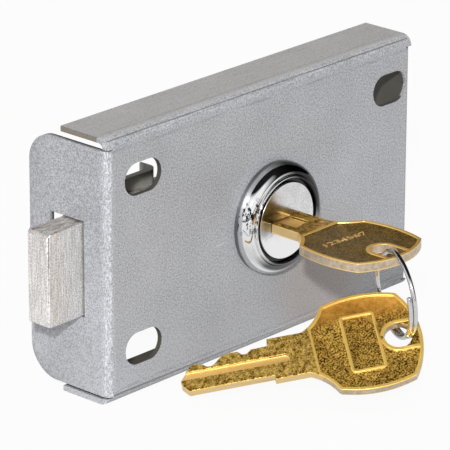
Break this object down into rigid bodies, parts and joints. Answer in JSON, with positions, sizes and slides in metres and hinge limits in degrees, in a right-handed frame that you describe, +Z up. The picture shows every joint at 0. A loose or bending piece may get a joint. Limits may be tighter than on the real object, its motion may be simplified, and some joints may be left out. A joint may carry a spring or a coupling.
{
  "type": "locker lock",
  "caption": "Surface-mounted locker lock: folded steel case, key cylinder, sliding dead bolt, and a key with a spare on a split ring.",
  "frame": {"origin": "centre of the four mounting slots, on the front face of the case", "axes": "+X along the case away from the bolt, +Y back through the case, +Z up"},
  "size_m": [0.1145, 0.0764, 0.0636],
  "materials": {
    "case_zinc": "zinc plated sheet, faintly speckled",
    "trim_chrome": "polished chrome crown over a dull skirt",
    "barrel_nickel": "dull plated die casting",
    "nut_steel": "zinc plated",
    "stud_steel": "turned, zinc plated",
    "clip_steel": "dark phosphated spring steel",
    "plug_brass": "machined",
    "cap_stainless": "polished stainless face",
    "cam_steel": "zinc plated pressing",
    "bolt_steel": "sanded faces, fine grain",
    "slide_steel": "zinc plated pressing",
    "key_brass": "stamped, bright rims over a matt sunk field",
    "ring_steel": "nickel plated spring wire",
    "spring_steel": "bright wire"
  },
  "bodies": {
    "case": {"case_pan": "case_zinc", "trim_ring": "trim_chrome", "cylinder_barrel": "barrel_nickel", "nut_washer": "nut_steel", "barrel_nut": "nut_steel", "bolt_stud": "stud_steel", "tail_stud": "stud_steel", "stud_clips": "clip_steel"},
    "plug": {"plug": "plug_brass", "face_cap": "cap_stainless", "wafer_1": "plug_brass", "wafer_2": "plug_brass", "wafer_3": "plug_brass", "wafer_4": "plug_brass", "wafer_5": "plug_brass", "wafer_springs": "spring_steel", "stop_washer": "cam_steel", "cam": "cam_steel", "cam_pin": "stud_steel", "cam_clip": "clip_steel"},
    "bolt": {"bolt_block": "bolt_steel", "slide_plate": "slide_steel", "bolt_rivets": "stud_steel"},
    "key": {"key_in_lock": "key_brass"},
    "ring": {"split_ring": "ring_steel"},
    "spare_key": {"spare_key": "key_brass"}
  },
  "joints": [
    {"name": "plug_turn", "type": "hinge", "parent": "case", "child": "plug", "pos_m": [0.0013, 0, -0.0008], "axis": [0, 1, 0], "range_deg": [0, 90]},
    {"name": "bolt_slide", "type": "slide", "parent": "case", "child": "bolt", "axis": [1, 0, 0], "range_m": [0, 0.011]},
    {"name": "key_withdraw", "type": "slide", "parent": "plug", "child": "key", "axis": [0, -1, 0], "range_m": [0, 0.022]},
    {"name": "ring_swing", "type": "hinge", "parent": "key", "child": "ring", "pos_m": [-0.00275, -0.04079, -0.00805], "axis": [0.8818, -0.4609, 0.1], "range_deg": [-12, 12]},
    {"name": "spare_key_swing", "type": "hinge", "parent": "ring", "child": "spare_key", "pos_m": [-0.00307, -0.04349, -0.01758], "axis": [0.4704, 0.8447, -0.2552], "range_deg": [-4, 8]}
  ],
  "couplings": [
    {"joint": "plug_turn", "follows": "bolt_slide", "rad_per_m": 142.8}
  ]
}
